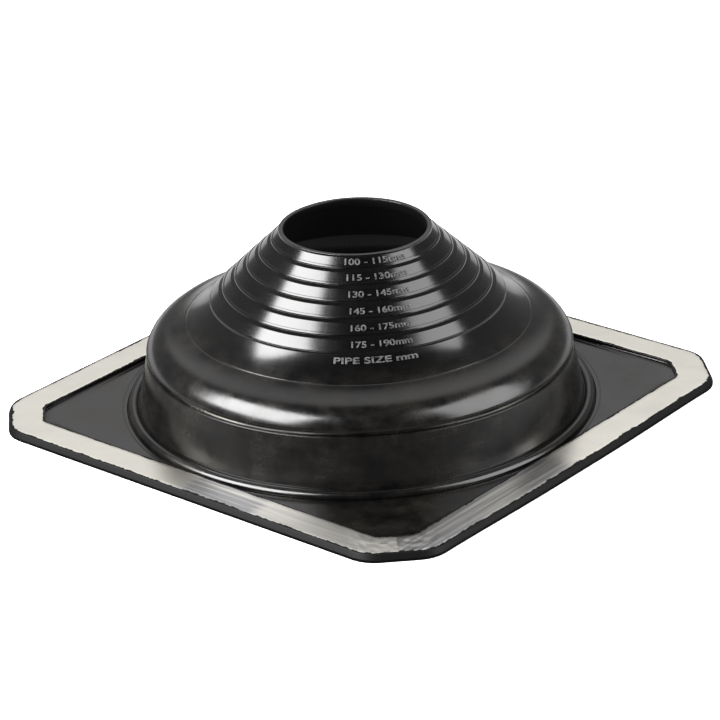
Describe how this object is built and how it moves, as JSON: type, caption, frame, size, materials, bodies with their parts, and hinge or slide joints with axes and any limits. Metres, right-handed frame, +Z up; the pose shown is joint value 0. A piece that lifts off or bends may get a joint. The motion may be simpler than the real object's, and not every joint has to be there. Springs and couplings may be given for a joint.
{
  "type": "pipe flashing boot",
  "caption": "Stepped rubber cone and dome on a square flange edged with aluminium strips, which seals a round pipe through a roof sheet.",
  "frame": {"origin": "centre of the flange's flat underside, on the axis of the pipe opening", "axes": "+Z up along the pipe, X and Y square to the sides of the flange"},
  "size_m": [0.31, 0.31, 0.1062],
  "materials": {
    "epdm_rubber": "semi-gloss moulded black EPDM with faint turning marks and handling smudges",
    "soft_aluminium": "satin rolled sheet, dull and lightly scratched"
  },
  "bodies": {
    "root": {"rubber_boot": "epdm_rubber", "strip_front": "soft_aluminium", "strip_right": "soft_aluminium", "strip_back": "soft_aluminium", "strip_left": "soft_aluminium"}
  },
  "joints": []
}
